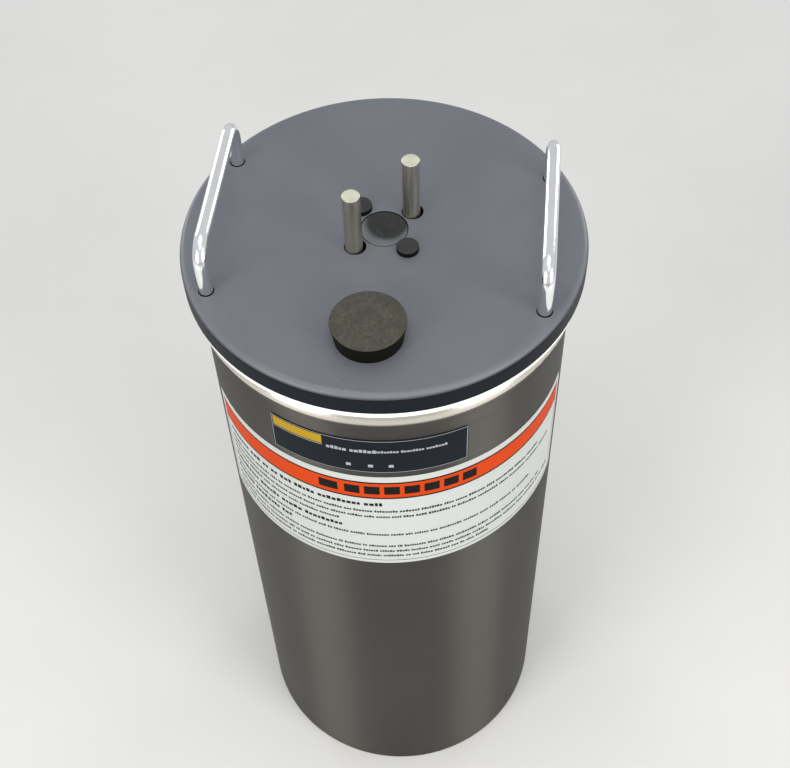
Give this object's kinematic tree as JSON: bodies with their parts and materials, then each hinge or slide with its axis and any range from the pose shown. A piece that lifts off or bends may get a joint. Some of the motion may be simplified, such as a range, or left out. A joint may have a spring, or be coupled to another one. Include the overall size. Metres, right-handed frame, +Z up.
{
  "type": "liquid nitrogen dewar",
  "caption": "Cylindrical stainless vacuum dewar with a grey handled lid, probe ports with rods and rubber stoppers, and a copper probe block hung inside.",
  "frame": {"origin": "centre of the face that the foot ring stands on", "axes": "+Z up along the vessel's axis, -Y towards the filling hole and the nameplate, handles left and right along X"},
  "size_m": [0.2286, 0.2286, 0.5452],
  "materials": {
    "brushed_steel": "brushed round the body, satin",
    "plain_steel": "mill finish stainless",
    "foil_wrap": "crinkled foil and paper layers",
    "pouch_fabric": "plain woven pouch",
    "fibreglass": "glass epoxy laminate",
    "pump_out_copper": "bare copper tube",
    "black_plastic": "moulded, matt",
    "black_rubber": "matt rubber",
    "nameplate_blue": "printed film, satin",
    "label_white": "coated label stock",
    "lid_grey": "fine satin, blue grey",
    "white_plastic": "machined white plastic, satin",
    "white_foam": "closed-cell insulation, smooth skin",
    "screw_steel": "stainless screws",
    "handle_chrome": "polished",
    "block_copper": "turned copper",
    "stopper_rubber": "matt black rubber, dusty top",
    "rod_steel": "drawn stainless rod"
  },
  "bodies": {
    "dewar": {"outer_shell": "brushed_steel", "outer_base": "brushed_steel", "neck_ring": "plain_steel", "inner_vessel": "plain_steel", "superinsulation_wrap": "foil_wrap", "getter_pouch": "pouch_fabric", "centring_support": "fibreglass", "evacuation_stub": "pump_out_copper", "evacuation_cap": "black_plastic", "foot_ring": "black_rubber", "rim_gasket": "black_rubber", "nameplate": "nameplate_blue", "wrap_label": "label_white"},
    "lid": {"lid_plate": "lid_grey", "seal_disc": "white_plastic", "insulating_plug": "white_foam", "hanger_plate": "plain_steel", "hanger_screws": "screw_steel", "handle_left": "handle_chrome", "handle_right": "handle_chrome", "handle_screws": "screw_steel", "block_front_slab": "block_copper", "block_middle_slab": "block_copper", "block_rear_slab": "block_copper", "block_floor": "block_copper", "guide_tube_front_left": "plain_steel", "guide_tube_front_right": "plain_steel", "guide_tube_rear_left": "plain_steel", "guide_tube_rear_right": "plain_steel"},
    "fill_stopper": {"fill_stopper": "stopper_rubber"},
    "centre_stopper": {"centre_stopper": "stopper_rubber"},
    "rear_left_stopper": {"rear_left_stopper": "stopper_rubber"},
    "front_right_stopper": {"front_right_stopper": "stopper_rubber"},
    "front_left_rod": {"front_left_rod": "rod_steel"},
    "rear_right_rod": {"rear_right_rod": "rod_steel"}
  },
  "joints": [
    {"name": "lid_lift", "type": "slide", "parent": "dewar", "child": "lid", "axis": [0, 0, 1], "range_m": [0, 0.43]},
    {"name": "front_left_rod_lift", "type": "slide", "parent": "lid", "child": "front_left_rod", "axis": [0, 0, 1], "range_m": [0, 0.43]},
    {"name": "rear_right_rod_lift", "type": "slide", "parent": "lid", "child": "rear_right_rod", "axis": [0, 0, 1], "range_m": [0, 0.43]},
    {"name": "fill_stopper_lift", "type": "slide", "parent": "lid", "child": "fill_stopper", "axis": [0, 0, 1], "range_m": [0, 0.05]},
    {"name": "centre_stopper_lift", "type": "slide", "parent": "lid", "child": "centre_stopper", "axis": [0, 0, 1], "range_m": [0, 0.06]},
    {"name": "rear_left_stopper_lift", "type": "slide", "parent": "lid", "child": "rear_left_stopper", "axis": [0, 0, 1], "range_m": [0, 0.05]},
    {"name": "front_right_stopper_lift", "type": "slide", "parent": "lid", "child": "front_right_stopper", "axis": [0, 0, 1], "range_m": [0, 0.05]}
  ]
}
